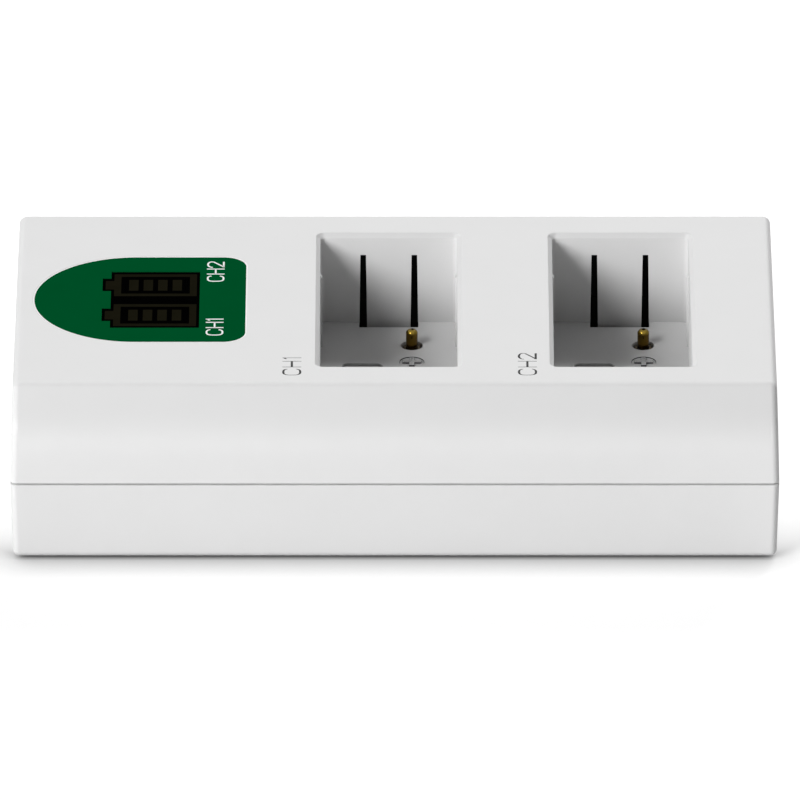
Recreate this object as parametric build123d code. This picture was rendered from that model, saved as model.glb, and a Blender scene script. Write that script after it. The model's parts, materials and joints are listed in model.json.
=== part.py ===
from build123d import *
from math import radians, sqrt, tan
import os

# Two-bay desktop battery charger. Millimetres, +Z up, +Y to the rear,
# origin on the ground under the middle of the case.

# Battery wells, from left to right
well_width = 20.75
well_length = 47.2
well_depth = 14.7
well_wall = 1.6
well_floor = 1.6
well_corner_radius = 0.7
well_gap = 14.4
rim_chamfer = 0.65

# Display window at the left of the top face
window_length = 32.05
window_width = 30.7
window_corner_radius = 3.5
window_thickness = 0.9
window_margin = 3.05
window_to_well = 11.1
window_sink = 0.05
window_gap = 0.15

# Case outside, widest at the parting plane
well_to_side = 12.9
well_to_front = 11.4
well_to_rear = 7.7
foot_height = 0.5
tray_height = 12.2
cover_wall_height = 9.5
brow_size = 4.9
draft_angle = 1.5
edge_radius = 1.0
rear_corner_radius = 1.25
tray_edge_radius = 0.9
top_crease_radius = 1.5
front_crease_radius = 3.5
parting_gap = 0.3

# Case inside
wall = 2.0
tray_floor = 2.0
lip_thickness = 0.9
lip_height = 1.3
lip_clearance = 0.15
lip_corner_radius = 0.6

# Spring tongue moulded in the back wall of each well
tongue_slot_offset = 3.89
tongue_slot_top_width = 0.84
tongue_slot_low_width = 1.22
tongue_top_drop = 3.45
tongue_thickness = 1.2
tongue_tip_drop = 0.9
tongue_notch = 1.84

# Guide ribs on the side walls of each well
guide_from_back = 9.0
guide_width = 1.0
guide_proud = 0.3
guide_top_drop = 2.8
guide_slant = 0.5

# Spring contacts, placed from the middle of the well and from its back wall
plus_offset = 3.5
plus_from_back = 8.45
minus_offset = -4.03
minus_from_back = 24.2
contact_hole_diameter = 3.36
plunger_diameter = 1.8
plunger_proud = 2.7
plunger_crown_radius = 0.6
plunger_collar_diameter = 2.34
plunger_collar_height = 1.2
contact_clearance = 0.03
barrel_diameter = 3.0
barrel_sink = 0.25
barrel_crimp = 0.25
barrel_lip = 0.8
barrel_base = 0.6
spring_wire = 0.3
spring_diameter = 1.9
spring_turns = 3
spring_end_clearance = 0.02

# Shallow key recess round the minus contact
key_width = 6.2
key_length = 18.7
key_depth = 0.4
key_radius = 1.0

# Level display: two battery signs side by side
sign_length = 12.5
sign_width = 7.9
sign_gap = 2.9
sign_bore_length = 10.35
sign_bore_width = 6.07
sign_nub_length = 1.3
sign_nub_width = 3.06
bar_count = 4
bar_length = 1.43
bar_width = 3.9
bar_pitch = 2.19
segment_depth = 0.6
segment_clearance = 0.03
display_border_x = 0.4
display_border_y = 0.75
display_height = 6.0
display_sink = 0.1
display_clearance = 0.3
display_cut_clearance = 0.05
display_from_window_tip = 18.3

# Display board and its fixings
display_board_length = 26.0
display_board_width = 30.0
display_board_thickness = 1.2
display_post_diameter = 4.4
display_post_inset = 2.6
display_screw_diameter = 1.5
display_screw_bite = 3.0
display_head_diameter = 3.0
display_head_height = 1.0

# Main board
board_thickness = 1.6
board_standoff = 0.9
board_side_clearance = 1.0
board_corner_radius = 1.5
board_rib_width = 1.2
board_rib_length = 40.0

# Case screws, their bosses and posts
boss_inset_x = 6.9
boss_inset_y = 6.65
boss_diameter = 6.4
post_diameter = 7.4
gusset_thickness = 1.2
gusset_lift = 0.6
case_screw_diameter = 2.0
case_screw_bite = 7.0
case_head_diameter = 4.0
case_head_height = 1.4
head_seat_height = 1.7
head_clearance = 0.3
shank_clearance = 0.25
pilot_clearance = 0.05
pilot_relief = 1.0
head_chamfer = 0.3

# Rubber feet
foot_diameter = 8.0
foot_seat_depth = 0.4
foot_clearance = 0.1
foot_chamfer = 0.2
foot_to_screw = 9.5

# Power inlet at the rear
inlet_width = 8.94
inlet_height = 3.26
inlet_depth = 7.3
inlet_sheet = 0.3
inlet_recess = 0.6
inlet_wall_clearance = 0.3
inlet_tongue_width = 6.69
inlet_tongue_thickness = 0.7
inlet_tongue_sink = 0.9
inlet_core_depth = 2.2
inlet_core_clearance = 0.02
inlet_tab_length = 1.2
inlet_tab_below = 0.7
inlet_tab_inset = 0.9
inlet_tab_clearance = 0.15

# Ribbon cable between the two boards
ribbon_width = 8.0
ribbon_thickness = 0.2
ribbon_bend = 2.5
ribbon_step = 7.0
ribbon_plug = 1.3
ribbon_fit = 0.02
ribbon_straight = 2.0
socket_length = 10.5
socket_width = 3.0
socket_height = 2.2
socket_to_board_edge = 2.4

# Parts on the main board
chip_size = 5.0
chip_height = 1.2
chip_chamfer = 0.2
coil_size = 6.0
coil_height = 3.0
coil_corner = 1.2
coil_cap_diameter = 4.8
coil_cap_height = 0.2
capacitor_diameter = 5.0
capacitor_height = 4.4
capacitor_base = 5.4
capacitor_base_height = 0.8
capacitor_base_corner = 1.2
capacitor_neck = 0.25
capacitor_bevel = 0.4
chip_from_front = 14.0
coil_from_front = 6.0

# Heights that everything shares
parting_z = foot_height + tray_height
brow_z = parting_z + cover_wall_height
top_z = brow_z + brow_size
floor_z = top_z - well_depth
floor_low_z = floor_z - well_floor
ceiling_z = top_z - wall
tray_floor_z = foot_height + tray_floor
board_low_z = tray_floor_z + board_standoff
board_z = board_low_z + board_thickness
window_low_z = top_z - window_thickness
window_z = top_z - window_sink
display_z = window_z - display_sink
display_low_z = display_z - display_height
display_board_low_z = display_low_z - display_board_thickness
display_screw_top_z = display_low_z + display_screw_bite
head_seat_z = foot_height + head_seat_height
case_screw_top_z = board_z + case_screw_bite
barrel_z = floor_z - barrel_sink
collar_z = barrel_z - barrel_lip
spring_low_z = board_z + barrel_base
plunger_z = floor_z + plunger_proud
inlet_z = board_z + inlet_height / 2
draft_slope = tan(radians(draft_angle))


def lean(z):
    # How far the drafted walls have drawn in at height z
    return abs(z - parting_z) * draft_slope


# Places that everything shares
case_width = (
    window_margin + window_length + window_to_well + 2 * well_width + well_gap + well_to_side
)
case_depth = well_to_front + well_length + well_to_rear
right_well_x = case_width / 2 - well_to_side - well_width / 2
wells_x = [right_well_x - well_gap - well_width, right_well_x]
back_y = case_depth / 2 - well_to_rear
well_y = back_y - well_length / 2
window_tip_x = -case_width / 2 + window_margin
window_end_x = window_tip_x + window_length
display_x = window_tip_x + display_from_window_tip
boss_x = case_width / 2 - boss_inset_x
boss_y = case_depth / 2 - boss_inset_y
corners = [(side * boss_x, end * boss_y) for side in (-1, 1) for end in (-1, 1)]
shank_hole = case_screw_diameter + 2 * shank_clearance
case_pilot = case_screw_diameter + 2 * pilot_clearance
display_pilot = display_screw_diameter + 2 * pilot_clearance
front_y = well_y - well_length / 2
foot_x = boss_x - foot_to_screw
foot_places = {
    f"{end_name}_{side_name}": (side * foot_x, end * boss_y)
    for side_name, side in (("left", -1), ("right", 1))
    for end_name, end in (("front", -1), ("rear", 1))
}
inlet_mouth_y = case_depth / 2 - lean(inlet_z) - inlet_recess
board_shrink = 2 * (wall + lean(tray_floor_z) + board_side_clearance)
board_width = case_width - board_shrink
board_depth = case_depth - board_shrink
display_socket_x = display_x + display_board_length / 2 - socket_to_board_edge
main_socket_x = display_socket_x + ribbon_step


def section(inset):
    # Plan outline of the case at the parting plane, drawn in by inset
    return Rectangle(case_width - 2 * inset, case_depth - 2 * inset)


def column(outline, low, high):
    # Straight column over a flat outline, from one height to another
    return extrude(Plane.XY.offset(low) * outline, high - low)


def rod(diameter, low, high):
    return column(Circle(diameter / 2), low, high)


def turned(points):
    # Solid of revolution about Z from (radius, height) points
    return revolve(Plane.XZ * make_face(Polyline(points, close=True)), Axis.Z)


def rounded(width, length, radius):
    return RectangleRounded(width, length, radius)


def brow_wedge(inset):
    # Everything in front of the sloped band along the front edge of the top
    foot_y = -case_depth / 2 + lean(brow_z) + inset * sqrt(2)
    reach = case_depth
    corner_points = [
        (foot_y - reach, brow_z - reach),
        (foot_y + reach, brow_z + reach),
        (foot_y - reach, brow_z + reach),
    ]
    return extrude(
        Plane.YZ * make_face(Polyline(corner_points, close=True)), case_width, both=True
    )


def cover_block(inset, low_z, high_z):
    # Upper case: drafted walls that draw in upwards, and the sloped front band
    foot = section(inset + (low_z - parting_z) * draft_slope)
    block = extrude(Plane.XY.offset(low_z) * foot, high_z - low_z, taper=draft_angle)
    return block - brow_wedge(inset)


def tray_block(inset, low_z, high_z):
    # Lower case: drafted walls that draw in downwards
    rim = section(inset + (parting_z - high_z) * draft_slope)
    start = Plane((0, 0, high_z), x_dir=(1, 0, 0), z_dir=(0, 0, -1))
    return extrude(start * rim, high_z - low_z, taper=draft_angle)


def long_edge(block, y, z):
    # The edge along X nearest to a place in the side view
    return block.edges().filter_by(Axis.X).sort_by_distance((0, y, z))[0]


def side_edges(block):
    # Edges round the left and right faces of a case block
    faces = block.faces().sort_by(Axis.X)
    return faces[0].edges() + faces[-1].edges()


def rounded_cover(block, low_z):
    # Creases first, then the rear corners, then one chain up the front corners and round the top
    band_y = -case_depth / 2 + lean(brow_z)
    block = fillet(long_edge(block, band_y + brow_size, top_z), top_crease_radius)
    block = fillet(long_edge(block, band_y, brow_z), front_crease_radius)
    block = fillet(side_edges(block).sort_by(Axis.Y)[-2:], rear_corner_radius)
    front_chain = [
        e
        for e in side_edges(block)
        if e.center().Z > low_z + edge_radius and e.center().Y < 0
    ]
    top_loop = block.faces().sort_by(Axis.Z)[-1].edges().sort_by(Axis.Y)[1:]
    return fillet(front_chain + top_loop, edge_radius)


def rounded_tray(block):
    # Rear corners, front corners, then the loop round the bottom
    block = fillet(side_edges(block).sort_by(Axis.Y)[-2:], rear_corner_radius)
    block = fillet(side_edges(block).sort_by(Axis.Y)[:2], edge_radius)
    return fillet(block.faces().sort_by(Axis.Z)[0].edges(), tray_edge_radius)


def arch(grow):
    # Window outline: half round at the left end, straight at the right end
    half_width = window_width / 2
    middle_x = window_tip_x + half_width
    straight = window_end_x - middle_x
    outline = Circle(half_width + grow) + Pos((straight + grow) / 2, 0) * Rectangle(
        straight + grow, window_width + 2 * grow
    )
    ends = outline.vertices().sort_by(Axis.X)[-2:]
    return Pos(middle_x, well_y) * fillet(ends, window_corner_radius + grow)


def sign_y(channel):
    # Channel 1 lies in front of channel 2
    return well_y + (channel - 1.5) * (sign_width + sign_gap)


def sign_outline(grow_x, grow_y):
    # One battery sign with its nub at the left end
    nub_x = -(sign_length + sign_nub_length) / 2 - grow_x
    return Rectangle(sign_length + 2 * grow_x, sign_width + 2 * grow_y) + Pos(
        nub_x + sign_nub_length / 2, 0
    ) * Rectangle(2 * sign_nub_length, sign_nub_width + 2 * grow_y)


def display_outline(grow):
    # Both signs and the strip between them, as one plateau
    outline = Pos(display_x, well_y) * Rectangle(
        sign_length + 2 * (display_border_x + grow), sign_gap + sign_width
    )
    for channel in (1, 2):
        outline += Pos(display_x, sign_y(channel)) * sign_outline(
            display_border_x + grow, display_border_y + grow
        )
    return outline


def level_outlines(channel, grow):
    # Battery frame and its row of bars
    frame = sign_outline(grow, grow) - Rectangle(
        sign_bore_length - 2 * grow, sign_bore_width - 2 * grow
    )
    bar = Rectangle(bar_length + 2 * grow, bar_width + 2 * grow)
    first_bar = -(bar_count - 1) / 2 * bar_pitch
    pieces = [frame] + [Pos(first_bar + i * bar_pitch, 0) * bar for i in range(bar_count)]
    return [Pos(display_x, sign_y(channel)) * piece for piece in pieces]


def contact_places(well_x):
    return {
        "plus": (well_x + plus_offset, back_y - plus_from_back),
        "minus": (well_x + minus_offset, back_y - minus_from_back),
    }


def display_posts():
    # Two opposite corners of the display board, where it is screwed to the cover
    reach_x = display_board_length / 2 - display_post_inset
    reach_y = display_board_width / 2 - display_post_inset
    return [(display_x + side * reach_x, well_y - side * reach_y) for side in (-1, 1)]


def well_block(well_x):
    outline = Pos(well_x, well_y) * Rectangle(
        well_width + 2 * well_wall, well_length + 2 * well_wall
    )
    return column(outline, floor_low_z, top_z - wall / 2)


def well_pocket(well_x):
    # Straight pocket with a flat chamfer all round its mouth
    place = Pos(well_x, well_y)
    straight = place * rounded(well_width, well_length, well_corner_radius)
    flare = [
        Plane.XY.offset(z) * place * rounded(
            well_width + 2 * grow, well_length + 2 * grow, well_corner_radius + grow
        )
        for z, grow in ((top_z - rim_chamfer, 0), (top_z + rim_chamfer, 2 * rim_chamfer))
    ]
    return column(straight, floor_z, top_z) + loft(flare)


def tongue_cuts(well_x):
    # Two tapered slots, the floor notch in front, the gap under the tip and the thinned back
    top = top_z - tongue_top_drop
    low = floor_low_z - well_floor
    half_top = tongue_slot_top_width / 2
    half_low = tongue_slot_low_width / 2
    slot_points = [(-half_top, top), (half_top, top), (half_low, low), (-half_low, low)]
    slot_face = Plane.XZ * make_face(Polyline(slot_points, close=True))
    slot = extrude(slot_face, -well_wall)
    span = 2 * tongue_slot_offset
    notch_width = span + tongue_slot_low_width
    notch = Pos(0, -tongue_notch / 2) * Rectangle(notch_width, tongue_notch)
    under = Pos(0, well_wall / 2) * Rectangle(span, well_wall)
    thinning = Pos(0, (tongue_thickness + well_wall) / 2) * Rectangle(
        span, well_wall - tongue_thickness
    )
    cuts = [
        Pos(-tongue_slot_offset, 0) * slot,
        Pos(tongue_slot_offset, 0) * slot,
        column(notch, low, floor_z),
        column(under, low, floor_z - tongue_tip_drop),
        column(thinning, low, top),
    ]
    return [Pos(well_x, back_y) * cut for cut in cuts]


def guide_rib(well_x, side):
    # Low rib on a side wall, with a slanted lead-in at its top
    wall_x = well_x + side * well_width / 2
    top = top_z - guide_top_drop
    profile = [
        (wall_x, floor_z),
        (wall_x - side * guide_proud, floor_z),
        (wall_x - side * guide_proud, top - guide_slant),
        (wall_x, top),
    ]
    face = Plane.XZ.offset(guide_from_back - back_y) * make_face(Polyline(profile, close=True))
    return extrude(face, -guide_width)


def screw_boss(x, y):
    # Boss from the ceiling down to the board, with webs to the side wall and the end wall
    web_low = parting_z + lip_height + lip_clearance + gusset_lift
    reach_x = case_width / 2 - abs(x) - wall / 2
    reach_y = case_depth / 2 - abs(y) - wall / 2
    side = 1 if x > 0 else -1
    end = 1 if y > 0 else -1
    web_x = Pos(x + side * reach_x / 2, y) * Rectangle(reach_x, gusset_thickness)
    web_y = Pos(x, y + end * reach_y / 2) * Rectangle(gusset_thickness, reach_y)
    webs = column(web_x, web_low, ceiling_z) + column(web_y, web_low, ceiling_z)
    return Pos(x, y) * rod(boss_diameter, board_z, ceiling_z) + webs - brow_wedge(wall / 2)


def lip_outline(grow):
    # Outside of the lip that the tray sets into the cover
    outer = wall - lip_thickness - grow
    return rounded(case_width - 2 * outer, case_depth - 2 * outer, lip_corner_radius + grow)


def make_top_cover():
    low = parting_z + parting_gap / 2
    cover = rounded_cover(cover_block(0, low, top_z), low)
    cover -= cover_block(wall, low, ceiling_z)
    cover -= column(lip_outline(lip_clearance), low, parting_z + lip_height + lip_clearance)
    for x, y in corners:
        cover += screw_boss(x, y)
        cover -= Pos(x, y) * rod(case_pilot, board_z, case_screw_top_z + pilot_relief)
    for well_x in wells_x:
        cover += well_block(well_x)
        cover -= well_pocket(well_x)
        for cut in tongue_cuts(well_x):
            cover -= cut
        for side in (-1, 1):
            cover += guide_rib(well_x, side)
        for x, y in contact_places(well_x).values():
            cover -= Pos(x, y) * rod(contact_hole_diameter, floor_low_z, floor_z)
        key = Pos(*contact_places(well_x)["minus"]) * rounded(key_width, key_length, key_radius)
        cover -= column(key, floor_z - key_depth, floor_z)
    for x, y in display_posts():
        cover += Pos(x, y) * rod(display_post_diameter, display_low_z, ceiling_z)
        cover -= Pos(x, y) * rod(display_pilot, display_low_z, display_screw_top_z + pilot_relief)
    cover -= column(arch(window_gap), window_low_z, top_z)
    cover -= column(display_outline(display_clearance), ceiling_z, window_low_z)
    return cover


def make_base_tray():
    rim_z = parting_z - parting_gap / 2
    tray = rounded_tray(tray_block(0, foot_height, rim_z))
    tray += column(lip_outline(0), rim_z, parting_z + lip_height)
    tray -= tray_block(wall, tray_floor_z, parting_z + lip_height)
    for well_x in wells_x:
        for x, _ in contact_places(well_x).values():
            rib = Pos(x, well_y) * Rectangle(board_rib_width, board_rib_length)
            tray += column(rib, tray_floor_z, board_low_z)
    for x, y in corners:
        tray += Pos(x, y) * rod(post_diameter, tray_floor_z, board_low_z)
        tray -= Pos(x, y) * rod(case_head_diameter + 2 * head_clearance, foot_height, head_seat_z)
        tray -= Pos(x, y) * rod(shank_hole, head_seat_z, board_low_z)
    for x, y in foot_places.values():
        seat = rod(foot_diameter + 2 * foot_clearance, foot_height, foot_height + foot_seat_depth)
        tray -= Pos(x, y) * seat
    hole = SlotOverall(
        inlet_width + 2 * inlet_wall_clearance, inlet_height + 2 * inlet_wall_clearance
    )
    tray -= bar_along_y(hole, inlet_mouth_y - wall, case_depth / 2)
    return tray


def bar_along_y(outline, from_y, to_y):
    # Straight bar along Y over an outline centred on the power inlet
    start = Plane((0, from_y, inlet_z), x_dir=(1, 0, 0), z_dir=(0, 1, 0))
    return extrude(start * outline, to_y - from_y)


def make_power_inlet_shell():
    # Drawn steel sleeve, closed at its inner end, with four solder tabs
    inner_y = inlet_mouth_y - inlet_depth
    bore = SlotOverall(inlet_width - 2 * inlet_sheet, inlet_height - 2 * inlet_sheet)
    shell = bar_along_y(SlotOverall(inlet_width, inlet_height), inner_y, inlet_mouth_y)
    shell -= bar_along_y(bore, inner_y + inlet_sheet, inlet_mouth_y)
    for x, y in inlet_tabs():
        tab = Pos(x, y) * Rectangle(inlet_sheet, inlet_tab_length)
        shell += column(tab, board_low_z - inlet_tab_below, inlet_z)
    return shell


def inlet_tabs():
    inner_y = inlet_mouth_y - inlet_depth + inlet_tab_inset + inlet_tab_length / 2
    outer_y = board_depth / 2 - inlet_tab_inset - inlet_tab_length / 2
    reach = (inlet_width - inlet_sheet) / 2
    return [(side * reach, y) for side in (-1, 1) for y in (inner_y, outer_y)]


def make_power_inlet_tongue():
    # Insulating core at the inner end with the flat contact tongue in front of it
    start_y = inlet_mouth_y - inlet_depth + inlet_sheet
    gap = inlet_sheet + inlet_core_clearance
    core = SlotOverall(inlet_width - 2 * gap, inlet_height - 2 * gap)
    blade = Rectangle(inlet_tongue_width, inlet_tongue_thickness)
    tongue = bar_along_y(core, start_y, start_y + inlet_core_depth)
    tongue += bar_along_y(blade, start_y + inlet_core_depth, inlet_mouth_y - inlet_tongue_sink)
    return tongue


def make_main_board():
    board = rounded(board_width, board_depth, board_corner_radius)
    for x, y in corners:
        board -= Pos(x, y) * Circle(shank_hole / 2)
    slot = Rectangle(
        inlet_sheet + 2 * inlet_tab_clearance, inlet_tab_length + 2 * inlet_tab_clearance
    )
    for x, y in inlet_tabs():
        board -= Pos(x, y) * slot
    return column(board, board_low_z, board_z)


def make_display_window():
    outline = arch(0) - display_outline(display_cut_clearance)
    return column(outline, window_low_z, window_z)


def make_display_housing():
    housing = column(display_outline(0), display_low_z, display_z)
    for channel in (1, 2):
        for outline in level_outlines(channel, segment_clearance):
            housing -= column(outline, display_z - segment_depth, display_z)
    return housing


def make_level_segments(channel):
    outlines = level_outlines(channel, 0)
    return [column(outline, display_z - segment_depth, display_z) for outline in outlines]


def make_display_board():
    board = Pos(display_x, well_y) * rounded(
        display_board_length, display_board_width, board_corner_radius
    )
    for x, y in display_posts():
        board -= Pos(x, y) * Circle(display_screw_diameter / 2 + shank_clearance)
    return column(board, display_board_low_z, display_low_z)


def make_ribbon_socket(x, low, mouth_up):
    # Low housing on a board with a slot that takes the end of the ribbon
    slot_low = low + socket_height - ribbon_plug if mouth_up else low
    slot = Rectangle(ribbon_thickness + 2 * ribbon_fit, ribbon_width + 2 * ribbon_fit)
    body = column(Rectangle(socket_width, socket_length), low, low + socket_height)
    body -= column(slot, slot_low, slot_low + ribbon_plug)
    return Pos(x, well_y) * body


def make_display_ribbon():
    # Flat cable that rises from the main board in a gentle S to the display board
    low = board_z + socket_height - ribbon_plug
    high = display_board_low_z - socket_height + ribbon_plug
    rise = ribbon_plug + ribbon_straight
    path = FilletPolyline(
        (main_socket_x, low),
        (main_socket_x, low + rise),
        (display_socket_x, high - rise),
        (display_socket_x, high),
        radius=ribbon_bend,
    )
    strip = Plane.XZ.offset(-well_y) * trace(path, line_width=ribbon_thickness)
    return extrude(strip, ribbon_width / 2, both=True)


def make_contact_barrel():
    # Turned sleeve soldered to the board, crimped in at the top over the plunger's collar
    body_r = barrel_diameter / 2
    lip_r = plunger_diameter / 2 + contact_clearance
    bore_r = plunger_collar_diameter / 2 + contact_clearance
    return turned(
        [
            (0, board_z),
            (body_r, board_z),
            (body_r, barrel_z - barrel_crimp),
            (body_r - barrel_crimp, barrel_z),
            (lip_r, barrel_z),
            (lip_r, collar_z),
            (bore_r, collar_z),
            (bore_r, spring_low_z),
            (0, spring_low_z),
        ]
    )


def make_contact_plunger():
    # Turned pin with a rounded crown and a collar that the barrel's lip holds back
    pin_r = plunger_diameter / 2
    collar_r = plunger_collar_diameter / 2
    plunger = turned(
        [
            (0, collar_z - plunger_collar_height),
            (collar_r, collar_z - plunger_collar_height),
            (collar_r, collar_z),
            (pin_r, collar_z),
            (pin_r, plunger_z),
            (0, plunger_z),
        ]
    )
    return fillet(plunger.edges().sort_by(Axis.Z)[-1], plunger_crown_radius)


def make_contact_spring():
    # Coil spring between the bottom of the barrel and the plunger's collar
    margin = spring_wire / 2 + spring_end_clearance
    low = spring_low_z + margin
    height = collar_z - plunger_collar_height - margin - low
    radius = (spring_diameter - spring_wire) / 2
    path = Helix(pitch=height / spring_turns, height=height, radius=radius, center=(0, 0, low))
    start = Plane(origin=path @ 0, x_dir=(1, 0, 0), z_dir=path % 0)
    wire = start * Rectangle(spring_wire, spring_wire)
    return sweep(wire, path=path, is_frenet=True)


def make_case_screw():
    # Pan-head screw, head down
    low = head_seat_z - case_head_height
    head = rod(case_head_diameter, low, head_seat_z)
    head = chamfer(head.edges().sort_by(Axis.Z)[0], head_chamfer)
    return head + rod(case_screw_diameter, head_seat_z, case_screw_top_z)


def make_display_screw():
    low = display_board_low_z - display_head_height
    head = rod(display_head_diameter, low, display_board_low_z)
    head = chamfer(head.edges().sort_by(Axis.Z)[0], head_chamfer)
    return head + rod(display_screw_diameter, display_board_low_z, display_screw_top_z)


def make_foot():
    foot = rod(foot_diameter, 0, foot_height + foot_seat_depth)
    return chamfer(foot.edges().sort_by(Axis.Z)[0], foot_chamfer)


def make_chip():
    # Flat moulded package with bevelled top edges
    body = column(Rectangle(chip_size, chip_size), board_z, board_z + chip_height)
    return chamfer(body.faces().sort_by(Axis.Z)[-1].edges(), chip_chamfer)


def make_coil():
    # Shielded power coil: square ferrite body with cut corners and a round cap
    block = column(Rectangle(coil_size, coil_size), board_z, board_z + coil_height)
    block = chamfer(block.edges().filter_by(Axis.Z), coil_corner)
    high = board_z + coil_height
    return block + rod(coil_cap_diameter, high, high + coil_cap_height)


def make_capacitor():
    # Aluminium can on a moulded base, with the crimped neck near its foot
    base_z = board_z + capacitor_base_height
    base = column(Rectangle(capacitor_base, capacitor_base), board_z, base_z)
    base = chamfer(base.edges().filter_by(Axis.Z).sort_by(Axis.X)[:2], capacitor_base_corner)
    can_r = capacitor_diameter / 2
    can = turned(
        [
            (0, base_z),
            (can_r, base_z),
            (can_r, base_z + capacitor_neck),
            (can_r - capacitor_neck, base_z + 2 * capacitor_neck),
            (can_r, base_z + 3 * capacitor_neck),
            (can_r, base_z + capacitor_height),
            (0, base_z + capacitor_height),
        ]
    )
    can = chamfer(can.edges().sort_by(Axis.Z)[-1], capacitor_bevel)
    return base + can


nodes = {
    "top_cover": make_top_cover(),
    "base_tray": make_base_tray(),
    "main_board": make_main_board(),
    "power_inlet_shell": make_power_inlet_shell(),
    "power_inlet_tongue": make_power_inlet_tongue(),
    "display_window": make_display_window(),
    "display_housing": make_display_housing(),
    "display_board": make_display_board(),
    "display_ribbon": make_display_ribbon(),
    "ribbon_socket_main": make_ribbon_socket(main_socket_x, board_z, True),
    "ribbon_socket_display": make_ribbon_socket(
        display_socket_x, display_board_low_z - socket_height, False
    ),
    "control_chip": Pos(display_x, front_y + chip_from_front) * make_chip(),
    "input_capacitor": Pos(sum(wells_x) / 2, back_y - capacitor_base) * make_capacitor(),
    "case_screws": Compound([Pos(x, y) * make_case_screw() for x, y in corners]),
    "display_screws": Compound([Pos(x, y) * make_display_screw() for x, y in display_posts()]),
}
for channel, well_x in enumerate(wells_x, start=1):
    nodes[f"level_segments_{channel}"] = Compound(make_level_segments(channel))
    nodes[f"charge_chip_{channel}"] = Pos(well_x, front_y + chip_from_front) * make_chip()
    nodes[f"power_coil_{channel}"] = Pos(well_x, front_y + coil_from_front) * make_coil()
    for pole, (x, y) in contact_places(well_x).items():
        nodes[f"contact_barrel_{channel}_{pole}"] = Pos(x, y) * make_contact_barrel()
        nodes[f"contact_plunger_{channel}_{pole}"] = Pos(x, y) * make_contact_plunger()
        nodes[f"contact_spring_{channel}_{pole}"] = Pos(x, y) * make_contact_spring()
for place, (x, y) in foot_places.items():
    nodes[f"foot_{place}"] = Pos(x, y) * make_foot()

os.makedirs("parts", exist_ok=True)
for name, shape in nodes.items():
    export_step(shape, f"parts/{name}.step")
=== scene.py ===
import json
import math
import bmesh
import bpy
import numpy as np
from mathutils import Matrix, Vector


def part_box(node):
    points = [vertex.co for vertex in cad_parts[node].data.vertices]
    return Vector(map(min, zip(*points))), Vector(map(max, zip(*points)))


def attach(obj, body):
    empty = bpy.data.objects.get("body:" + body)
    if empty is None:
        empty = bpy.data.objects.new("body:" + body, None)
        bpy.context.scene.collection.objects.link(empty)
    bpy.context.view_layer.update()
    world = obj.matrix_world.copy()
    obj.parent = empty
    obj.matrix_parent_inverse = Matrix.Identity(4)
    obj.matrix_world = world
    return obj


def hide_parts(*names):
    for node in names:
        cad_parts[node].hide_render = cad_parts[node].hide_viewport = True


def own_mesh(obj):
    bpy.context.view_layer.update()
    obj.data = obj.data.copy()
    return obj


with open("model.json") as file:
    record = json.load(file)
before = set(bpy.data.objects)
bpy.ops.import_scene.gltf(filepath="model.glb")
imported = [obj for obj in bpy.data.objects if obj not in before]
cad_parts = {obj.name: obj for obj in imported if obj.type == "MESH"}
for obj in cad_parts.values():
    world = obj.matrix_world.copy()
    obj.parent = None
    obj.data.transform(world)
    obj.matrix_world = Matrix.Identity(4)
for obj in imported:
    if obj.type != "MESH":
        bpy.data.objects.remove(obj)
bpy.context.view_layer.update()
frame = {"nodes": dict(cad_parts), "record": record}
nodes = frame["nodes"]
record = frame["record"]
scene = bpy.context.scene
mm = 0.001  # the scene is in metres, the sizes below are in millimetres
print("frame loaded with", len(nodes), "nodes")


def nodeBox(name):
    # lowest and highest corner of a CAD node in millimetres
    low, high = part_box(name)
    return np.array(low) / mm, np.array(high) / mm


def nodeMiddle(name):
    low, high = nodeBox(name)
    return (low + high) / 2


def toLinear(hexColour):
    # sRGB hex to the linear colour that the shader sockets take
    srgb = np.array([int(hexColour[i:i + 2], 16) for i in (1, 3, 5)]) / 255
    linear = np.where(srgb <= 0.04045, srgb / 12.92, ((srgb + 0.055) / 1.055) ** 2.4)
    return (*[float(value) for value in linear], 1.0)


def perMetre(sizeMm):
    # texture scale that makes one cell of a noise sizeMm wide
    return 1 / (sizeMm * mm)


def bandScale(pitchMm):
    # scale of a wave texture whose bands are pitchMm apart: one band is pi / 10 long at scale 1
    return math.pi / 10 / (pitchMm * mm)


def addNode(tree, kind, inputs=None, **settings):
    # one node: settings are its own properties, inputs are values or other nodes' output sockets
    node = tree.nodes.new(kind)
    for key, value in settings.items():
        setattr(node, key, value)
    for key, value in (inputs or {}).items():
        if isinstance(value, bpy.types.NodeSocket):
            tree.links.new(value, node.inputs[key])
        else:
            node.inputs[key].default_value = value
    return node


def newMaterial(name):
    # empty material with its Object coordinates ready
    material = bpy.data.materials.new(name)
    material.use_nodes = True
    tree = material.node_tree
    tree.nodes.clear()
    place = addNode(tree, "ShaderNodeTexCoord").outputs["Object"]
    return material, tree, place


def finishMaterial(material, shader):
    addNode(material.node_tree, "ShaderNodeOutputMaterial", {"Surface": shader.outputs[0]})
    return material


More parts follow.
